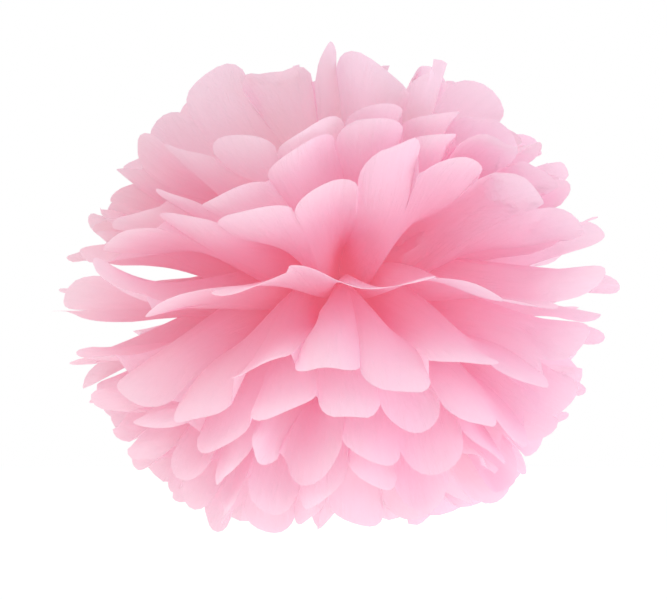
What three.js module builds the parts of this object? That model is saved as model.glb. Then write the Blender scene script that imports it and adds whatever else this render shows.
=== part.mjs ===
// Tissue paper pom pom: ten sheets of tissue, pleated together, tied across the middle with one wire,
// rounded at both ends, fanned into two half rounds and pulled apart, five sheets up and five down.
// Millimetres, +Z up along the axis of the fan. The wire runs across X, so one half fan opens to -Y and
// the other to +Y. The origin is where the hanging thread passes through the eye of the wire.
import * as THREE from 'three';

// The sheets as they are cut and folded.
const SHEET_LENGTH = 350;            // along the creases, which is the finished diameter
const SHEET_WIDTH = 500;             // across the creases, before folding
const PANELS = 11;                   // pleats across the sheet, 45 mm each
const TIP_DEPTH = 20;                // a rounded end reaches this far past its two creases
const PAPER = 0.5;                   // modelled thickness of one sheet
const BOUND_GAP = 0.4;               // clear space between sheets under the wire

// The bundle under the wire.
const NECK_WIDTH = 10;               // across X
const NECK_REACH = 3.5;              // from the middle to where the fan opens, along Y

// The fan.
const HALF_SPREAD = 90.6;            // azimuth of the outermost creases, in degrees from the fan's middle
const CUP = 0.8;                     // share of a sheet's elevation that it already has at the bundle
const TIP_CURL = 2.5;                // extra lift at the middle of each rounded end, in degrees
const INNER_FOLD = 12;               // how far a crease stands out of its sheet near the tie, in degrees
const LEAST_FOLD = 2;                // the least that it stands out at the rim of the back half
const BACK_UNEVEN = 1.5;             // how unevenly the creases of a back half lie, in degrees
const LIFT_FADE = 45;                // the back half's extra height fades out this far from the -X edge
const OPENS_FROM = 0.25;             // share of the crease where the fan starts to lean to its rim

// Top to bottom, all in degrees: elevation, extra elevation towards +X, how far the back half has
// turned about the axis by the time it reaches the rim, and how much higher the back half lies. front
// is where the twelve creases of the front half end, -X to +X: azimuth from -Y, and elevation.
const SHEETS = [
  {
    name: 'upper_sheet_1', rise: 55, lean: 5, turn: -4, backLift: 0,
    front: [
      [-96, 36], [-86, 38], [-71, 33], [-52, 41], [-31, 50], [-6, 50],
      [0, 57], [21, 45], [42, 52], [61, 43], [79, 42], [92, 44],
    ],
  },
  {
    name: 'upper_sheet_2', rise: 44, lean: 8, turn: -4, backLift: 0,
    front: [
      [-94, 24], [-80, 28], [-65, 27], [-49, 30], [-31, 28], [-14, 28],
      [2, 36], [18, 38], [36, 41], [54, 33], [72, 34], [91, 29],
    ],
  },
  {
    name: 'upper_sheet_3', rise: 32, lean: 8, turn: -6, backLift: 0,
    front: [
      [-92, 16], [-75, 18], [-59, 15], [-44, 19], [-31, 16], [-16, 22],
      [0, 30], [17, 32], [31, 33], [48, 30], [67, 24], [88, 20],
    ],
  },
  {
    name: 'upper_sheet_4', rise: 19, lean: 6, turn: -2, backLift: 3,
    front: [
      [-90, 10], [-74, 12], [-58, 8], [-42, 13], [-26, 11], [-9, 15],
      [5, 20], [20, 25], [36, 25], [52, 18], [69, 11], [88, 13],
    ],
  },
  {
    name: 'upper_sheet_5', rise: 1, lean: 5, turn: 3, backLift: 5,
    front: [
      [-91, -6], [-75, -7], [-59, 1], [-44, -6], [-27, 0], [-10, 4],
      [5, -1], [21, 2], [37, -3], [54, -3], [70, 4], [87, -1],
    ],
  },
  {
    name: 'lower_sheet_1', rise: -14, lean: 3, turn: 1, backLift: 4,
    front: [
      [-91, -15], [-75, -17], [-58, -18], [-41, -23], [-23, -21], [-9, -15],
      [5, -15], [21, -16], [37, -15], [54, -17], [70, -9], [88, -13],
    ],
  },
  {
    name: 'lower_sheet_2', rise: -26, lean: 2, turn: -2, backLift: 3,
    front: [
      [-92, -24], [-75, -26], [-57, -30], [-38, -31], [-20, -27], [-4, -22],
      [10, -22], [25, -23], [41, -25], [57, -29], [73, -20], [90, -25],
    ],
  },
  {
    name: 'lower_sheet_3', rise: -36, lean: 0, turn: 3, backLift: 0,
    front: [
      [-89, -32], [-71, -36], [-52, -38], [-36, -39], [-21, -33], [-14, -37],
      [1, -31], [17, -34], [34, -31], [53, -37], [72, -31], [91, -35],
    ],
  },
  {
    name: 'lower_sheet_4', rise: -48, lean: -2, turn: 1, backLift: 0,
    front: [
      [-88, -41], [-72, -45], [-56, -45], [-42, -49], [-27, -43], [-12, -46],
      [3, -39], [17, -44], [34, -40], [54, -46], [72, -41], [89, -45],
    ],
  },
  {
    name: 'lower_sheet_5', rise: -58, lean: 0, turn: 4, backLift: 0,
    front: [
      [-96, -52], [-82, -57], [-66, -54], [-50, -58], [-34, -51], [-16, -56],
      [-3, -50], [17, -54], [34, -49], [53, -54], [72, -49], [92, -54],
    ],
  },
];

// The wire: folded in half, twisted above the bundle, led round it and twisted again below.
const WIRE_RADIUS = 0.45;
const LOOP_RADIUS = 7.4;             // centreline of the wire round the bundle
const STRAND_OFFSET = 0.8;           // from the axis to each strand of a twist
const TWIST_PITCH = 6;               // height of one full turn
const TWIST_TURNS = 1.5;
const TWIST_START = 8.8;             // height where the two strands come together
const EYE_RADIUS = 3;
const WIRE_SIDES = 6;
const WIRE_STEPS = 150;

const HALF_LENGTH = SHEET_LENGTH / 2;
const CREASE_LENGTH = HALF_LENGTH - TIP_DEPTH;
const PANEL_WIDTH = SHEET_WIDTH / PANELS;
const RINGS = [CREASE_LENGTH * 0.8, CREASE_LENGTH * 0.5, CREASE_LENGTH * 0.2, NECK_REACH];
const TIP_STEPS = 4;                 // straight pieces in each rounded end
const TWIST_HEIGHT = TWIST_PITCH * TWIST_TURNS;
const EYE_HEIGHT = TWIST_START + TWIST_HEIGHT + EYE_RADIUS;
const EYE_CONTACT = EYE_HEIGHT + EYE_RADIUS - WIRE_RADIUS;
const rad = THREE.MathUtils.degToRad;

// Angle between neighbouring creases at the rim when the sheet lies open and flat.
const FLAT_STEP = THREE.MathUtils.radToDeg(PANEL_WIDTH / CREASE_LENGTH);

// A sheet that is pulled up or down has less room round it, so its pleats stay more closed.
function foldAngle(sheet) {
  return Math.max(LEAST_FOLD, FLAT_STEP / 2 * Math.abs(Math.sin(rad(sheet.rise))));
}

// The cone that a sheet would lie on if it were pulled evenly.
function coneElevation(sheet, azimuth) {
  return sheet.rise + sheet.lean * Math.sin(rad(azimuth));
}

// How far each crease of one half ends beside its even place: azimuth and elevation, in degrees.
function rimSteps(sheet, order, side) {
  const steep = Math.abs(Math.sin(rad(sheet.rise)));
  return Array.from({ length: PANELS + 1 }, (_, crease) => {
    const zig = crease % 2 === 0 ? 1 : -1;
    const even = (2 * crease / PANELS - 1) * HALF_SPREAD;
    let [azimuth, elevation] = sheet.front[crease];
    if (side > 0) {
      azimuth = even - sheet.turn + steep * (4 * zig + 2 * Math.sin(2.4 * crease + 1.7 * order));
      const lifted = sheet.backLift * THREE.MathUtils.clamp((azimuth + HALF_SPREAD) / LIFT_FADE, 0, 1);
      elevation = coneElevation(sheet, azimuth) + lifted + zig * foldAngle(sheet)
        + BACK_UNEVEN * Math.sin(3.7 * crease + 2.3 * order);
    }
    return { azimuth: azimuth - even, elevation: elevation - coneElevation(sheet, azimuth) };
  });
}

// Carries one value per crease straight across the panels between.
function between(across, valueAt) {
  const panel = Math.min(Math.floor(across), PANELS - 1);
  const part = across - panel;
  return valueAt(panel) * (1 - part) + valueAt(panel + 1) * part;
}

// A place on one half of a sheet. across counts panels from the -X edge, along is the distance from the
// tie, and curl is the extra lift in degrees. A half's side is -1 at the front and +1 at the back, its
// height is where it leaves the bundle, and rim holds its rimSteps. lift points out of the paper.
function placeOn(half, across, along, curl) {
  const { sheet, height, side, rim } = half;
  const share = across / PANELS;
  const neckX = (share - 0.5) * NECK_WIDTH;
  if (along <= NECK_REACH) {
    return { point: new THREE.Vector3(neckX, side * NECK_REACH, height), lift: new THREE.Vector3(0, 0, 1) };
  }
  const reach = along / CREASE_LENGTH;
  const sideStep = between(across, (crease) => rim[crease].azimuth);
  const azimuth = (2 * share - 1) * HALF_SPREAD + sideStep * Math.min(reach, 1) ** 1.5;
  const cupped = coneElevation(sheet, azimuth) * (CUP + (1 - CUP) * Math.min(reach, 1));
  const leaning = THREE.MathUtils.smoothstep(reach, OPENS_FROM, 1);
  const pleat = INNER_FOLD * between(across, (crease) => (crease % 2 === 0 ? 1 : -1));
  const rimStep = between(across, (crease) => rim[crease].elevation);
  const elevation = rad(cupped + pleat * (1 - leaning) + rimStep * leaning + Math.sign(sheet.rise) * curl);
  const [cosA, sinA] = [Math.cos(rad(azimuth)), Math.sin(rad(azimuth))];
  const [cosE, sinE] = [Math.cos(elevation), Math.sin(elevation)];
  const point = new THREE.Vector3(cosE * sinA, side * cosE * cosA, sinE).multiplyScalar(along - NECK_REACH);
  point.add(new THREE.Vector3(neckX, side * NECK_REACH, height));
  return { point, lift: new THREE.Vector3(-sinE * sinA, -side * sinE * cosA, cosE) };
}

// One half fan's middle surface: rings of crease points, then a rounded end on every panel.
function addHalfFan(surface, half) {
  const { side } = half;
  const add = (across, along, curl) => {
    surface.places.push(placeOn(half, across, along, curl));
    return surface.places.length - 1;
  };
  const face = (a, b, c) => surface.faces.push(side < 0 ? [a, b, c] : [a, c, b]);
  const rings = RINGS.map((along) =>
    Array.from({ length: PANELS + 1 }, (_, crease) => add(crease, along, 0)));
  for (let ring = 0; ring + 1 < rings.length; ring += 1) {
    const [outer, inner] = [rings[ring], rings[ring + 1]];
    for (let panel = 0; panel < PANELS; panel += 1) {
      face(outer[panel], outer[panel + 1], inner[panel + 1]);
      face(outer[panel], inner[panel + 1], inner[panel]);
    }
  }
  let corner = add(0, CREASE_LENGTH, 0);
  for (let panel = 0; panel < PANELS; panel += 1) {
    const rim = [corner];
    for (let step = 1; step <= TIP_STEPS; step += 1) {
      const turn = Math.PI * step / TIP_STEPS;
      const part = (1 - Math.cos(turn)) / 2;
      rim.push(add(panel + part, CREASE_LENGTH + TIP_DEPTH * Math.sin(turn), TIP_CURL * Math.sin(turn)));
    }
    const [left, right] = [rings[0][panel], rings[0][panel + 1]];
    const middle = TIP_STEPS / 2;
    for (let step = 0; step < TIP_STEPS; step += 1) {
      face(rim[step], rim[step + 1], step < middle ? left : right);
    }
    face(rim[middle], right, left);
    corner = rim[TIP_STEPS];
  }
  return rings[rings.length - 1];
}

// Gives a middle surface its thickness and closes it round its whole edge.
function thicken({ places, faces }) {
  const count = places.length;
  const positions = [];
  for (const half of [PAPER / 2, -PAPER / 2]) {
    for (const { point, lift } of places) {
      positions.push(...point.clone().addScaledVector(lift, half).toArray());
    }
  }
  const index = [];
  const edges = new Set();
  for (const [a, b, c] of faces) {
    index.push(a, b, c, a + count, c + count, b + count);
    for (const [from, to] of [[a, b], [b, c], [c, a]]) edges.add(`${from} ${to}`);
  }
  for (const edge of edges) {
    const [from, to] = edge.split(' ').map(Number);
    if (!edges.has(`${to} ${from}`)) {
      index.push(to, from, from + count, to, from + count, to + count);
    }
  }
  const geometry = new THREE.BufferGeometry();
  geometry.setAttribute('position', new THREE.Float32BufferAttribute(positions, 3));
  geometry.setIndex(index);
  geometry.computeVertexNormals();
  return geometry;
}

function makeSheet(sheet, order) {
  const height = ((SHEETS.length - 1) / 2 - order) * (PAPER + BOUND_GAP);
  const surface = { places: [], faces: [] };
  const [front, back] = [-1, 1].map((side) =>
    addHalfFan(surface, { sheet, height, side, rim: rimSteps(sheet, order, side) }));
  for (let panel = 0; panel < PANELS; panel += 1) {
    surface.faces.push([front[panel], front[panel + 1], back[panel + 1]]);
    surface.faces.push([front[panel], back[panel + 1], back[panel]]);
  }
  const mesh = new THREE.Mesh(thicken(surface), tissue);
  mesh.name = sheet.name;
  return mesh;
}

// One strand from its tail under the bundle, round the +X side, up to the foot of the eye.
function strandPoints() {
  const points = [];
  const twistSteps = 8 * TWIST_TURNS;
  const onTwist = (share, base) => new THREE.Vector3(
    STRAND_OFFSET * Math.cos(2 * Math.PI * TWIST_TURNS * share),
    STRAND_OFFSET * Math.sin(2 * Math.PI * TWIST_TURNS * share),
    base + TWIST_HEIGHT * share,
  );
  for (let step = 0; step <= twistSteps; step += 1) {
    const below = onTwist(1 - step / twistSteps, 0);
    points.push(new THREE.Vector3(below.x, below.y, -TWIST_START - below.z));
  }
  for (let angle = -60; angle <= 60; angle += 20) {
    points.push(new THREE.Vector3(Math.cos(rad(angle)), 0, Math.sin(rad(angle))).multiplyScalar(LOOP_RADIUS));
  }
  for (let step = 0; step <= twistSteps; step += 1) points.push(onTwist(step / twistSteps, TWIST_START));
  return points;
}

function makeWire() {
  const rising = strandPoints();
  const falling = rising.map((p) => new THREE.Vector3(-p.x, -p.y, p.z)).reverse();
  const facing = Math.sign(rising[rising.length - 1].x);
  const eye = [];
  for (let angle = -50; angle <= 230; angle += 20) {
    eye.push(new THREE.Vector3(
      facing * EYE_RADIUS * Math.cos(rad(angle)), 0, EYE_HEIGHT + EYE_RADIUS * Math.sin(rad(angle)),
    ));
  }
  const path = new THREE.CatmullRomCurve3([...rising, ...eye, ...falling], false, 'centripetal');
  const section = new THREE.Shape();
  for (let side = 0; side < WIRE_SIDES; side += 1) {
    const angle = 2 * Math.PI * side / WIRE_SIDES;
    const corner = [WIRE_RADIUS * Math.cos(angle), WIRE_RADIUS * Math.sin(angle)];
    if (side === 0) section.moveTo(...corner);
    else section.lineTo(...corner);
  }
  const geometry = new THREE.ExtrudeGeometry(section, { steps: WIRE_STEPS, extrudePath: path });
  const mesh = new THREE.Mesh(geometry, steel);
  mesh.name = 'tie_wire';
  return mesh;
}

const tissue = new THREE.MeshStandardMaterial({
  color: 0xf7b9cd, roughness: 0.9, metalness: 0, side: THREE.DoubleSide,
});
const steel = new THREE.MeshStandardMaterial({ color: 0xa9abae, roughness: 0.35, metalness: 1 });

const pompom = new THREE.Group();
SHEETS.forEach((sheet, order) => pompom.add(makeSheet(sheet, order)));
pompom.add(makeWire());
pompom.position.z = -EYE_CONTACT;

export default pompom;
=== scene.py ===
"""Looks for the tissue paper pom pom: ten pleated sheets of tissue round one tie wire.

Metres, +Z up. The origin is where the hanging thread would pass through the wire's eye.
Each sheet is one open surface: columns across its pleats, rows from tip to tip through the tie.
"""
import math

import bpy
import numpy as np
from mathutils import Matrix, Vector


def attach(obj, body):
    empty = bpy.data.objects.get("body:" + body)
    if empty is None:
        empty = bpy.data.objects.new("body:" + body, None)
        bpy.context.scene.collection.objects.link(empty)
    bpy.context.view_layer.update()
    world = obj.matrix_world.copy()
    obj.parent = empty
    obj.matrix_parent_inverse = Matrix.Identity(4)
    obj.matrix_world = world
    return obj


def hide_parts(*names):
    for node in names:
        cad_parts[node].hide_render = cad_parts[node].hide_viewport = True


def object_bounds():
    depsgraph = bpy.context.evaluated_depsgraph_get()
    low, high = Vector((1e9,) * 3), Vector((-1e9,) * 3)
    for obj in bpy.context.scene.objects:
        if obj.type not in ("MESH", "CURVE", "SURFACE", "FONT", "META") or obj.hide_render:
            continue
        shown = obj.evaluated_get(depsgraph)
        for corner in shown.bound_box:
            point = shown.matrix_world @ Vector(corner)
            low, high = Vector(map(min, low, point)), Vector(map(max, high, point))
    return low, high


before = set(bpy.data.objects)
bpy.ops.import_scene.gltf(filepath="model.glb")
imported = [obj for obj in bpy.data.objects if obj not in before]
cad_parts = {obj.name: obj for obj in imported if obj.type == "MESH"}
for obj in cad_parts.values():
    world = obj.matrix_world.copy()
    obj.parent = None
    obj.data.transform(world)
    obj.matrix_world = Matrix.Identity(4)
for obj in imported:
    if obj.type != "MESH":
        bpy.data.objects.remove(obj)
cad_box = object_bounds()

# Lengths are in metres and angles in degrees, unless a comment says otherwise.

# The sheet as it is cut, folded and trimmed.
SHEET_LENGTH = 0.350
SHEET_WIDTH = 0.500
PANELS = 11
PANEL = SHEET_WIDTH / PANELS
TIP_DEPTH = 0.020
CREASE = SHEET_LENGTH / 2 - TIP_DEPTH

# The bundle under the wire, as in the CAD.
SHEETS_IN_STACK = 10
STACK_PITCH = 0.0009
NECK_WIDTH = 0.010
NECK_REACH = 0.0035
TIE = Vector((0, 0, -0.02335))

# How a sheet opens out.
HALF_SPREAD = 90.6
CUP = 0.8  # share of its rise that a sheet already has at the tie
TUCK_ABOVE = 0.20  # share by which the sides of a steep sheet are drawn in
TUCK_BELOW = 0.10
TUCK_POWER = 4
LEAST_FOLD = 2.0
BACK_UNEVEN = 1.5
BACK_SWING = 4.0
BACK_DRIFT = 2.0
LIFT_FADE = 45.0

# How its pleats open. Reach is the distance from the tie, 1 where the creases end.
CRUSH_LENGTH = 0.022
CRUSH_START = 0.0018
FOLD_PAPER = 0.97  # share of a panel's width that can stand up as a pleat
FLATTEST_REACH = 0.004
STEEPEST_FOLD = 0.7  # sine of the fold angle
FOLD_FADE = 0.25  # reach from which the pleats turn into the rim's own folds
CALM_WIDTH = 42.0
STEP_GROWTH = 1.5

# How its petals differ.
TIP_UNEVEN = 0.003
RIM_RIPPLE = 0.0009
WRINKLE = 0.0012
BOWED_UP = 0.65  # share of the petals
MOST_SLACK = 0.012
MOST_BOW = 0.008
CURL_LOW = -5.0
CURL_HIGH = 3.0
CURL_START = 0.7  # reach
CURL_LENGTH = 0.42

# The colours of the tissue: its paper, and the light that comes through it, each as a painted shaded copy
# near the tie and a paler painted lit copy at the tips.
PAPER_SHADED_INNER = (0.985, 0.67, 0.765, 1)
PAPER_LIT_OUTER = (0.98, 0.725, 0.815, 1)
PAPER_CLOUD = (0.98, 0.715, 0.825, 1)
PAPER_STREAK = (0.985, 0.67, 0.775, 1)
THROUGH_SHADED_INNER = (0.985, 0.63, 0.73, 1)
THROUGH_LIT_OUTER = (0.98, 0.725, 0.82, 1)
STREAK_SHARE = 0.35
# Painted light: the paper near the tie glows in this colour and strength, though it is no lamp.
GLOW = (0.40, 0.34, 0.38, 1)
GLOW_STRENGTH = 0.22
ZINC_DARK = (0.42, 0.43, 0.45, 1)
ZINC_LIGHT = (0.66, 0.67, 0.69, 1)
PATTERN_UNIT = 0.1  # the paper's pattern is measured in this length
PATTERN_STEP = 7.0  # how far the pattern moves on from one sheet to the next

# The studio.
CAMERA_DISTANCE = 1.6
CAMERA_SIDE = -0.0016
CAMERA_DROP = 0.0075
SENSOR_WIDTH = 36  # millimetres
VIEW_WIDTH = 0.4176
WORLD_LIGHT = 0.90
COOL_SIDE = (0.75, -0.20, -0.60)
WARM_LIGHT = (0.91, 1.02, 0.91, 1)
COOL_LIGHT = (0.82, 0.92, 1.08, 1)
FLOOR_SIZE = 12.0
FLOOR_DROP = 0.35
FLOOR_COLOUR = (0.94, 0.94, 0.94, 1)
FLOOR_GLOW = 0.25

# Lamps: name, place from the tie, diameter, watts, colour.
LAMPS = [
    ("upper_left", (-1.0, -1.0, 0.9), 1.0, 5.0, (0.80, 1.0, 0.90)),
    ("right", (1.1, -0.7, -0.1), 0.9, 4.5, (0.74, 0.84, 1.0)),
    ("rim", (0.9, 1.0, 0.2), 0.8, 4.0, (0.74, 0.86, 1.0)),
]

# Mesh fineness.
PANEL_STEPS = 12
ROWS = 34
ROW_POWER = 0.9
SHARP_FOLD = math.radians(35)


class Sheet:
    """One sheet. rise is its elevation, lean the extra towards +X, turn its twist about the axis, and
    back_lift the extra of its back half. depth is how much of the pleats' full depth it keeps inside,
    calm how much of that is lost in the middle of the front. front gives where each of the twelve
    creases of the front half fan ends: azimuth from the middle of the front, and elevation. petals
    gives bow (millimetres) and curl (degrees up) of single front petals. Angles in degrees."""

    def __init__(self, name, rise, lean, turn, back_lift, depth, calm, seed, front, petals):
        self.name = name
        self.rise = rise
        self.lean = lean
        self.turn = turn
        self.back_lift = back_lift
        self.depth = depth
        self.calm = calm
        self.seed = seed
        self.front = front
        self.petals = petals


SHEETS = [
    Sheet("upper_sheet_1", 55, 5, -4, 0, 1.0, 0.0, 1, [
        (-96, 36), (-86, 38), (-71, 33), (-52, 41), (-31, 50), (-6, 50),
        (0, 57), (21, 45), (42, 52), (61, 43), (79, 42), (92, 44)],
        {2: (3, 2), 3: (3, 2), 5: (1, 1), 6: (2, -3), 8: (2, -3)}),
    Sheet("upper_sheet_2", 44, 8, -4, 0, 1.0, 0.0, 2, [
        (-94, 24), (-80, 28), (-65, 27), (-49, 30), (-31, 28), (-14, 28),
        (2, 36), (18, 38), (36, 41), (54, 33), (72, 34), (91, 29)],
        {3: (2, 1), 4: (4, 2), 5: (3, 0), 6: (2, 1)}),
    Sheet("upper_sheet_3", 32, 8, -6, 0, 0.95, 0.2, 3, [
        (-92, 16), (-75, 18), (-59, 15), (-44, 19), (-31, 16), (-16, 22),
        (0, 30), (17, 32), (31, 33), (48, 30), (67, 24), (88, 20)],
        {3: (2, 1), 4: (4, 0), 5: (3, 2), 6: (4, 3)}),
    Sheet("upper_sheet_4", 19, 6, -2, 3, 0.9, 0.3, 4, [
        (-90, 10), (-74, 12), (-58, 8), (-42, 13), (-26, 11), (-9, 15),
        (5, 20), (20, 25), (36, 25), (52, 18), (69, 11), (88, 13)],
        {1: (-2, -4), 2: (1, -1), 3: (3, 3), 4: (3, 2), 5: (-3, 1), 6: (3, 6), 7: (-2, 0)}),
    Sheet("upper_sheet_5", 1, 5, 3, 5, 0.85, 0.6, 5, [
        (-91, -6), (-75, -7), (-59, 1), (-44, -6), (-27, 0), (-10, 4),
        (5, -1), (21, 2), (37, -3), (54, -3), (70, 4), (87, -1)],
        {1: (3, 2), 2: (6, 7), 3: (-2, -1), 4: (2, -2), 5: (-1, 0), 6: (2, 0), 7: (-2, -1), 8: (2, 0)}),
    Sheet("lower_sheet_1", -14, 3, 1, 4, 0.9, 0.3, 6, [
        (-91, -15), (-75, -17), (-58, -18), (-41, -23), (-23, -21), (-9, -15),
        (5, -15), (21, -16), (37, -15), (54, -17), (70, -9), (88, -13)],
        {1: (4, 5), 2: (-3, -3), 3: (-3, -6), 4: (-2, 2), 5: (-9, -3), 6: (-3, -5), 7: (-2, 0), 8: (2, -3)}),
    Sheet("lower_sheet_2", -26, 2, -2, 3, 0.9, 0.2, 7, [
        (-92, -24), (-75, -26), (-57, -30), (-38, -31), (-20, -27), (-4, -22),
        (10, -22), (25, -23), (41, -25), (57, -29), (73, -20), (90, -25)],
        {3: (-2, -5), 4: (-2, -1), 5: (-3, -4), 6: (3, -6), 7: (-3, -4), 8: (2, -5)}),
    Sheet("lower_sheet_3", -36, 0, 3, 0, 0.95, 0.0, 8, [
        (-89, -32), (-71, -36), (-52, -38), (-36, -39), (-21, -33), (-14, -37),
        (1, -31), (17, -34), (34, -31), (53, -37), (72, -31), (91, -35)],
        {3: (-2, -4), 4: (0, 1), 5: (3, -6), 6: (-3, -3), 7: (3, -5), 8: (-2, -3)}),
    Sheet("lower_sheet_4", -48, -2, 1, 0, 1.0, 0.0, 9, [
        (-88, -41), (-72, -45), (-56, -45), (-42, -49), (-27, -43), (-12, -46),
        (3, -39), (17, -44), (34, -40), (54, -46), (72, -41), (89, -45)],
        {4: (3, -3), 5: (-3, -3), 6: (-2, 0), 7: (3, -4)}),
    Sheet("lower_sheet_5", -58, 0, 4, 0, 1.0, 0.0, 10, [
        (-96, -52), (-82, -57), (-66, -54), (-50, -58), (-34, -51), (-16, -56),
        (-3, -50), (17, -54), (34, -49), (53, -54), (72, -49), (92, -54)],
        {4: (-3, -2), 5: (-2, 1), 6: (-2, 0), 7: (-2, 2), 8: (-2, 3), 9: (-2, 3)}),
]


def across_samples():
    """Columns of one sheet in panel units, closer together at the creases, where the rim dips."""
    part = (1 - np.cos(np.linspace(0, np.pi, PANEL_STEPS + 1))) / 2
    columns = [panel + part[:-1] for panel in range(PANELS)]
    return np.append(np.concatenate(columns), PANELS)


def panel_of(across):
    """Which panel each column lies on."""
    return np.minimum(across.astype(int), PANELS - 1)


def along_crease(values, across, softness=0.35):
    """Carries one value per crease across the panels between, with slightly rounded folds."""
    panel = panel_of(across)
    part = across - panel
    soft = part - softness * np.sin(2 * np.pi * part) / (2 * np.pi)
    return values[panel] * (1 - soft) + values[panel + 1] * soft


def ripple(rng, u, v, waves, reach_u, reach_v):
    """Smooth unevenness: a few random waves over the sheet's own coordinates, about -1 to 1."""
    total = np.zeros(np.broadcast(u, v).shape)
    for _ in range(waves):
        phase = rng.uniform(0, 2 * np.pi)
        total += np.sin(u * rng.uniform(-reach_u, reach_u) + v * rng.uniform(0, reach_v) + phase)
    return total / math.sqrt(waves)


def rim_of(sheet, order, side):
    """Where the twelve creases of one half fan end, as steps beside the plain cone: azimuth and
    elevation. Both are the same as the CAD's, before petals curl and steep sheets are tucked in. The
    back's creases are uneven by sines of their own number and the sheet's, with no random draw."""
    crease = np.arange(PANELS + 1)
    zig = np.where(crease % 2 == 0, 1.0, -1.0)
    plain = np.linspace(-HALF_SPREAD, HALF_SPREAD, PANELS + 1)
    steep = abs(math.sin(math.radians(sheet.rise)))
    if side < 0:
        azimuth, elevation = np.array(sheet.front, dtype=float).T
    else:
        fold = max(LEAST_FOLD, 0.5 * math.degrees(PANEL / CREASE) * steep)
        swing = BACK_SWING * zig + BACK_DRIFT * np.sin(2.4 * crease + 1.7 * order)
        azimuth = plain - sheet.turn + steep * swing
        lifted = sheet.back_lift * np.clip((azimuth + HALF_SPREAD) / LIFT_FADE, 0, 1)
        elevation = sheet.rise + sheet.lean * np.sin(np.radians(azimuth)) + lifted
        elevation = elevation + zig * fold + BACK_UNEVEN * np.sin(3.7 * crease + 2.3 * order)
    return azimuth - plain, elevation - sheet.rise - sheet.lean * np.sin(np.radians(azimuth))


def rim_length(across, rng):
    """How far each column reaches: a rounded tip on every panel, each a little uneven."""
    part = across % 1.0
    uneven = rng.uniform(-TIP_UNEVEN, TIP_UNEVEN, PANELS)[panel_of(across)]
    rim = CREASE + (TIP_DEPTH + uneven) * np.sqrt(np.clip(1 - (2 * part - 1) ** 2, 0, 1))
    return rim + RIM_RIPPLE * ripple(rng, across, 0.0, waves=6, reach_u=9.0, reach_v=0.0)


def pleat_fold(sheet, side, along, azimuth, cone):
    """Angle by which the creases stand off the plain cone: as deep as the paper allows, and less
    where it is crushed at the tie or combed flat in the middle of the front."""
    room = along * np.radians(2 * HALF_SPREAD / PANELS) * np.cos(cone) + NECK_WIDTH / PANELS
    full = 0.5 * np.sqrt(np.clip((FOLD_PAPER * PANEL) ** 2 - room ** 2, 0, None))
    crushed = CRUSH_START + PANEL / 2 * (1 - np.exp(-(along - NECK_REACH) / CRUSH_LENGTH))
    fold = sheet.depth * np.minimum(full, crushed)
    if side < 0:
        fold = fold * (1 - sheet.calm * np.exp(-(azimuth / math.radians(CALM_WIDTH)) ** 2))
    return np.arcsin(np.clip(fold / np.maximum(along, FLATTEST_REACH), 0, STEEPEST_FOLD))


def petal_shape(sheet, side, across, along, azimuth, elevation, cone, rng):
    """Bow of each petal across its width, as a length along the normal, and its curl, as an angle
    upwards at each tip. A panel bows only as far as its spare paper allows."""
    panel = panel_of(across)
    bow_sign = np.where(rng.uniform(0, 1, PANELS) < BOWED_UP, 1.0, -1.0) * rng.uniform(0.5, 1.0, PANELS)
    across_room = np.gradient(azimuth, across, axis=1) * np.cos(cone) * along
    up_room = np.gradient(elevation, across, axis=1) * along
    chord = np.sqrt(across_room ** 2 + up_room ** 2)
    slack = np.clip(PANEL - chord, 0.0, MOST_SLACK)
    bow = np.clip(np.sqrt(3 / 8 * chord * slack) * bow_sign[panel], -MOST_BOW, MOST_BOW)
    curl = rng.uniform(CURL_LOW, CURL_HIGH, PANELS) * math.copysign(1, sheet.rise)
    if side < 0:
        for petal, (petal_bow, petal_curl) in sheet.petals.items():
            bow[:, panel == petal] = petal_bow / 1000
            curl[petal] = petal_curl
    return bow, curl[panel]


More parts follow.
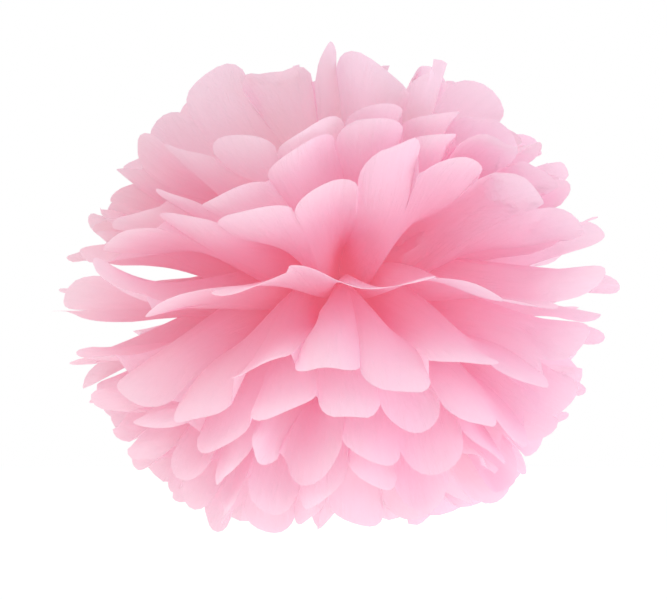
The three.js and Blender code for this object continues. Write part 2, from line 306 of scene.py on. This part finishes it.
def half_fan(sheet, order, side, rng):
    """Points of one half fan, rows from the neck out to the rim."""
    height = ((SHEETS_IN_STACK - 1) / 2 - order) * STACK_PITCH
    across = across_samples()
    share = across / PANELS
    part = across % 1.0
    zig = np.where(np.arange(PANELS + 1) % 2 == 0, 1.0, -1.0)

    rim = rim_length(across, rng)
    steps = np.linspace(0, 1, ROWS) ** ROW_POWER
    along = NECK_REACH + steps[:, None] * (rim[None, :] - NECK_REACH)
    reach = along / CREASE

    # The plain cone, stepped sideways towards the rim's own creases.
    side_step, lift_step = rim_of(sheet, order, side)
    side_step = along_crease(side_step, across) * np.minimum(reach, 1) ** STEP_GROWTH
    azimuth = np.radians((2 * share - 1) * HALF_SPREAD + side_step)
    cone = (sheet.rise + sheet.lean * np.sin(azimuth)) * (CUP + (1 - CUP) * np.minimum(reach, 1.0))
    cone = np.radians(cone)

    # Pleats inside, which give way to the rim's folds further out.
    outer = np.clip((reach - FOLD_FADE) / (1 - FOLD_FADE), 0, 1)
    outer = outer * outer * (3 - 2 * outer)
    fold_angle = pleat_fold(sheet, side, along, azimuth, cone)
    elevation = cone + (1 - outer) * fold_angle * along_crease(zig, across, 0.5)
    elevation = elevation + outer * np.radians(along_crease(lift_step, across, 0.5))

    # Petals and wrinkles.
    bow, curl = petal_shape(sheet, side, across, along, azimuth, elevation, cone, rng)
    bow = bow * 4 * part * (1 - part) * np.minimum(1, reach * 2)
    curl_reach = np.clip((reach - CURL_START) / CURL_LENGTH, 0, 1)
    elevation = elevation + np.radians(curl) * curl_reach ** 2
    wrinkle = WRINKLE * ripple(rng, across, reach, waves=8, reach_u=5.0, reach_v=9.0) * reach

    tuck = TUCK_ABOVE if sheet.rise > 0 else TUCK_BELOW
    tuck = tuck * abs(math.sin(math.radians(sheet.rise))) * np.sin(azimuth) ** TUCK_POWER
    out = (along - NECK_REACH) * (1 - tuck)
    neck_x = (share - 0.5) * NECK_WIDTH
    x = neck_x + out * np.cos(elevation) * np.sin(azimuth)
    y = side * (NECK_REACH + out * np.cos(elevation) * np.cos(azimuth))
    z = height + out * np.sin(elevation)
    points = np.stack([x, y, z], axis=-1)
    points += surface_normals(points, side) * (bow + wrinkle)[..., None]
    neck = [neck_x, np.full_like(neck_x, side * NECK_REACH), np.full_like(neck_x, height)]
    points[0] = np.stack(neck, -1)
    return points


def surface_normals(points, side):
    """Unit normals of a grid of points, facing up on a level sheet."""
    du = np.gradient(points, axis=1)
    dv = np.gradient(points, axis=0)
    normals = np.cross(du, dv) * -side
    return normals / np.maximum(np.linalg.norm(normals, axis=-1, keepdims=True), 1e-9)


def sheet_mesh(sheet, order):
    """One sheet from tip to tip, as a single grid of quads."""
    rng = np.random.default_rng(sheet.seed)
    front = half_fan(sheet, order, -1, rng)
    back = half_fan(sheet, order, 1, rng)
    points = np.concatenate([front[::-1], back], axis=0) + np.array(TIE)
    rows, columns = points.shape[:2]
    index = np.arange(rows * columns).reshape(rows, columns)
    quads = np.stack([index[:-1, :-1], index[:-1, 1:], index[1:, 1:], index[1:, :-1]], -1)
    quads = quads.reshape(-1, 4)
    mesh = bpy.data.meshes.new("paper_" + sheet.name)
    mesh.from_pydata(points.reshape(-1, 3).tolist(), [], quads.tolist())
    mesh.shade_smooth()
    mesh.set_sharp_from_angle(angle=SHARP_FOLD)
    store_attributes(mesh, points, order)
    return mesh


def store_attributes(mesh, points, order):
    """Keeps two things for the material: reach, each point's distance from the tie, 0 at the tie and
    about 1 at the tips, and unfolded, roughly its place on the flat sheet, moved on for each sheet."""
    count = points.shape[0] * points.shape[1]
    distance = np.linalg.norm(points - np.array(TIE), axis=-1) / (SHEET_LENGTH / 2)
    layer = mesh.attributes.new("reach", "FLOAT", "POINT")
    layer.data.foreach_set("value", distance.reshape(-1).astype(np.float32))
    flat = np.zeros((count, 3), dtype=np.float32)
    across = np.broadcast_to(across_samples() / PANELS, distance.shape)
    half = np.linspace(-1, 1, points.shape[0])[:, None]
    flat[:, 0] = across.reshape(-1) * SHEET_WIDTH / PATTERN_UNIT
    flat[:, 1] = (distance * np.sign(half) * SHEET_LENGTH / 2 / PATTERN_UNIT).reshape(-1)
    flat[:, 2] = order * PATTERN_STEP
    layer = mesh.attributes.new("unfolded", "FLOAT_VECTOR", "POINT")
    layer.data.foreach_set("vector", flat.reshape(-1))


def add_node(owner, kind, **inputs):
    """Adds a node to a material or world and sets its sockets by name, spaces as underscores."""
    node = owner.node_tree.nodes.new(kind)
    for name, value in inputs.items():
        node.inputs[name.replace("_", " ")].default_value = value
    return node


def mix_colours(owner, factor, first, second):
    """A colour mix. factor is a socket; first and second are sockets or plain colours."""
    node = owner.node_tree.nodes.new("ShaderNodeMix")
    node.data_type = "RGBA"
    for socket, value in zip((node.inputs[0], node.inputs[6], node.inputs[7]), (factor, first, second)):
        if isinstance(value, tuple):
            socket.default_value = value
        else:
            owner.node_tree.links.new(value, socket)
    return node.outputs[2]


def spread(owner, value, low, high):
    """A smooth step from 0 at low to 1 at high, which may be the lesser of the two."""
    node = add_node(owner, "ShaderNodeMapRange", From_Min=low, From_Max=high)
    node.interpolation_type = "SMOOTHSTEP"
    owner.node_tree.links.new(value, node.inputs["Value"])
    return node.outputs["Result"]


def scaled(owner, value, factor):
    """A socket's value times a constant."""
    node = add_node(owner, "ShaderNodeMath")
    node.operation = "MULTIPLY"
    node.inputs[1].default_value = factor
    owner.node_tree.links.new(value, node.inputs[0])
    return node.outputs[0]


def new_material(name):
    """An empty material to add nodes to."""
    material = bpy.data.materials.new(name)
    material.use_nodes = True
    material.node_tree.nodes.clear()
    return material


def tissue_patterns(material):
    """The paper's four patterns. Streaks and lines follow the creases: streaks are stretched along
    them, and lines are the sharp folds between long facets. Clouds and fibre lie all over."""
    link = material.node_tree.links.new
    unfolded = add_node(material, "ShaderNodeAttribute")
    unfolded.attribute_name = "unfolded"
    solid = add_node(material, "ShaderNodeTexCoord").outputs["Object"]

    stretch = add_node(material, "ShaderNodeMapping", Scale=(26, 2.2, 1))
    link(unfolded.outputs["Vector"], stretch.inputs["Vector"])
    streaks = add_node(material, "ShaderNodeTexNoise", Scale=1.0, Detail=4.0, Roughness=0.6, Distortion=0.4)
    link(stretch.outputs["Vector"], streaks.inputs["Vector"])

    bend = add_node(material, "ShaderNodeVectorMath")
    bend.operation = "ADD"
    link(unfolded.outputs["Vector"], bend.inputs[0])
    link(streaks.outputs["Color"], bend.inputs[1])
    facets = add_node(material, "ShaderNodeMapping", Scale=(5.5, 0.9, 1))
    link(bend.outputs["Vector"], facets.inputs["Vector"])
    lines = add_node(material, "ShaderNodeTexVoronoi", Scale=1.0)
    lines.feature = "DISTANCE_TO_EDGE"
    link(facets.outputs["Vector"], lines.inputs["Vector"])

    clouds = add_node(material, "ShaderNodeTexNoise", Scale=38.0, Detail=3.0, Roughness=0.55)
    link(solid, clouds.inputs["Vector"])
    fibre = add_node(material, "ShaderNodeTexNoise", Scale=900.0, Detail=2.0, Roughness=0.7)
    link(solid, fibre.inputs["Vector"])
    return streaks.outputs["Fac"], lines.outputs["Distance"], clouds.outputs["Fac"], fibre.outputs["Fac"]


def tissue_surface(material, streaks, lines, fibre):
    """Normals of the paper: streaky crinkles, then sharp folds, with a fine fibre grain on top."""
    link = material.node_tree.links.new
    crinkle = add_node(material, "ShaderNodeBump", Strength=0.32, Distance=0.002)
    link(streaks, crinkle.inputs["Height"])
    folds = add_node(material, "ShaderNodeBump", Strength=0.20, Distance=0.0015)
    link(spread(material, lines, 0.0, 0.10), folds.inputs["Height"])
    link(crinkle.outputs["Normal"], folds.inputs["Normal"])
    grain = add_node(material, "ShaderNodeBump", Strength=0.10, Distance=0.0003)
    link(fibre, grain.inputs["Height"])
    link(folds.outputs["Normal"], grain.inputs["Normal"])
    return grain.outputs["Normal"]


def tissue_material():
    """Light pink tissue paper: matt, lit through from behind, with painted shade deeper in colour towards
    the tie and painted light palest along its trimmed edge. A faint painted glow near the tie stands for
    the light that many layers of real tissue pass on to each other."""
    material = new_material("tissue")
    link = material.node_tree.links.new
    reach = add_node(material, "ShaderNodeAttribute")
    reach.attribute_name = "reach"
    streaks, lines, clouds, fibre = tissue_patterns(material)

    # Painted shade and light: the colour deepens towards the tie and pales towards the tips by reach alone.
    outer = spread(material, reach.outputs["Fac"], 0.15, 0.95)
    paper = mix_colours(material, outer, PAPER_SHADED_INNER, PAPER_LIT_OUTER)
    paper = mix_colours(material, spread(material, clouds, 0.30, 0.70), paper, PAPER_CLOUD)
    mottle = scaled(material, spread(material, streaks, 0.25, 0.75), STREAK_SHARE)
    paper = mix_colours(material, mottle, paper, PAPER_STREAK)
    # The light let through carries the same painted shade, deeper towards the tie.
    lit_through = mix_colours(material, outer, THROUGH_SHADED_INNER, THROUGH_LIT_OUTER)
    normal = tissue_surface(material, streaks, lines, fibre)

    front = add_node(material, "ShaderNodeBsdfPrincipled", Roughness=0.75, Specular_IOR_Level=0.2)
    # Painted light: the paper glows near the tie, fading out by reach 0.8.
    front.inputs["Emission Color"].default_value = GLOW
    inner = spread(material, reach.outputs["Fac"], 0.80, 0.06)
    link(scaled(material, inner, GLOW_STRENGTH), front.inputs["Emission Strength"])
    link(paper, front.inputs["Base Color"])
    link(normal, front.inputs["Normal"])
    through = add_node(material, "ShaderNodeBsdfTranslucent")
    link(lit_through, through.inputs["Color"])
    link(normal, through.inputs["Normal"])
    blend = add_node(material, "ShaderNodeMixShader", Fac=0.5)
    link(front.outputs[0], blend.inputs[1])
    link(through.outputs[0], blend.inputs[2])
    output = add_node(material, "ShaderNodeOutputMaterial")
    link(blend.outputs[0], output.inputs[0])
    return material


def wire_material():
    """Galvanised floral wire: drawn steel with a dull, slightly patchy zinc coat."""
    material = new_material("wire")
    link = material.node_tree.links.new
    place = add_node(material, "ShaderNodeTexCoord").outputs["Object"]
    patches = add_node(material, "ShaderNodeTexNoise", Scale=700.0, Detail=4.0, Roughness=0.6)
    scratches = add_node(material, "ShaderNodeTexNoise", Scale=3500.0, Detail=2.0, Roughness=0.7)
    link(place, patches.inputs["Vector"])
    link(place, scratches.inputs["Vector"])
    patchy = spread(material, patches.outputs["Fac"], 0.35, 0.65)
    zinc = mix_colours(material, patchy, ZINC_DARK, ZINC_LIGHT)
    dull = add_node(material, "ShaderNodeMapRange", To_Min=0.28, To_Max=0.55)
    link(patches.outputs["Fac"], dull.inputs["Value"])
    marks = add_node(material, "ShaderNodeBump", Strength=0.25, Distance=0.0001)
    link(scratches.outputs["Fac"], marks.inputs["Height"])
    shader = add_node(material, "ShaderNodeBsdfPrincipled", Metallic=1.0)
    link(zinc, shader.inputs["Base Color"])
    link(dull.outputs["Result"], shader.inputs["Roughness"])
    link(marks.outputs["Normal"], shader.inputs["Normal"])
    output = add_node(material, "ShaderNodeOutputMaterial")
    link(shader.outputs[0], output.inputs[0])
    return material


def make_sheets(material):
    """Makes each sheet and puts it in the place of its CAD solid."""
    for order, sheet in enumerate(SHEETS):
        mesh = sheet_mesh(sheet, order)
        mesh.materials.append(material)
        piece = bpy.data.objects.new("paper_" + sheet.name, mesh)
        bpy.context.scene.collection.objects.link(piece)
        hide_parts(sheet.name)
        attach(piece, "root")


def finish_wire(material):
    """The wire keeps its CAD shape and gets its own material."""
    for slot in bpy.data.objects["tie_wire"].material_slots:
        slot.material = material


def make_world():
    """White studio: pure white where the camera looks past the object, and as light a little softer,
    warm from the upper left and cool from the lower right."""
    world = bpy.data.worlds.new("studio")
    world.use_nodes = True
    links = world.node_tree.links
    world.node_tree.nodes.clear()
    seen = add_node(world, "ShaderNodeBackground", Color=(1, 1, 1, 1), Strength=1.0)
    light = add_node(world, "ShaderNodeBackground", Strength=WORLD_LIGHT)
    direction = add_node(world, "ShaderNodeTexCoord").outputs["Generated"]
    side = world.node_tree.nodes.new("ShaderNodeVectorMath")
    side.operation = "DOT_PRODUCT"
    side.inputs[1].default_value = COOL_SIDE
    links.new(direction, side.inputs[0])
    coolness = spread(world, side.outputs["Value"], -1.0, 1.0)
    links.new(mix_colours(world, coolness, WARM_LIGHT, COOL_LIGHT), light.inputs["Color"])
    path = add_node(world, "ShaderNodeLightPath")
    choose = add_node(world, "ShaderNodeMixShader")
    output = add_node(world, "ShaderNodeOutputWorld")
    links.new(path.outputs["Is Camera Ray"], choose.inputs[0])
    links.new(light.outputs[0], choose.inputs[1])
    links.new(seen.outputs[0], choose.inputs[2])
    links.new(choose.outputs[0], output.inputs[0])
    bpy.context.scene.world = world


def make_lamp(name, place, size, power, colour):
    """A soft round lamp, unseen by the camera, that points at the tie."""
    lamp = bpy.data.lights.new(name, "AREA")
    lamp.shape = "DISK"
    lamp.size = size
    lamp.energy = power
    lamp.color = colour
    holder = bpy.data.objects.new(name, lamp)
    bpy.context.scene.collection.objects.link(holder)
    holder.location = TIE + Vector(place)
    holder.rotation_euler = (-Vector(place)).to_track_quat("-Z", "Y").to_euler()
    holder.visible_camera = False


def make_floor():
    """A plain white floor, lit evenly, some way under the hanging pom pom."""
    mesh = bpy.data.meshes.new("floor")
    half = FLOOR_SIZE / 2
    corners = [(-half, -half, 0), (half, -half, 0), (half, half, 0), (-half, half, 0)]
    mesh.from_pydata(corners, [], [(0, 1, 2, 3)])
    floor = bpy.data.objects.new("floor", mesh)
    floor.location = (0, 0, cad_box[0][2] - FLOOR_DROP)
    material = new_material("floor")
    shader = add_node(material, "ShaderNodeBsdfPrincipled", Roughness=1.0)
    shader.inputs["Base Color"].default_value = FLOOR_COLOUR
    shader.inputs["Emission Color"].default_value = (1, 1, 1, 1)
    shader.inputs["Emission Strength"].default_value = FLOOR_GLOW
    output = add_node(material, "ShaderNodeOutputMaterial")
    material.node_tree.links.new(shader.outputs[0], output.inputs[0])
    mesh.materials.append(material)
    bpy.context.scene.collection.objects.link(floor)


def make_camera():
    """Nearly level with the tie, looking along +Y, far enough away for little perspective."""
    camera = bpy.data.cameras.new("camera")
    camera.sensor_fit = "HORIZONTAL"
    camera.sensor_width = SENSOR_WIDTH
    camera.lens = camera.sensor_width * CAMERA_DISTANCE / VIEW_WIDTH
    holder = bpy.data.objects.new("camera", camera)
    bpy.context.scene.collection.objects.link(holder)
    holder.location = TIE + Vector((CAMERA_SIDE, -CAMERA_DISTANCE, -CAMERA_DROP))
    holder.rotation_euler = (math.pi / 2, 0, 0)
    bpy.context.scene.camera = holder


def set_rendering():
    """Colours shown as they are, and enough bounces for light to pass through many sheets."""
    scene = bpy.context.scene
    scene.view_settings.view_transform = "Standard"
    scene.cycles.max_bounces = 24
    scene.cycles.diffuse_bounces = 16
    scene.cycles.transmission_bounces = 24


make_sheets(tissue_material())
finish_wire(wire_material())
make_world()
for lamp_values in LAMPS:
    make_lamp(*lamp_values)
make_floor()
make_camera()
set_rendering()
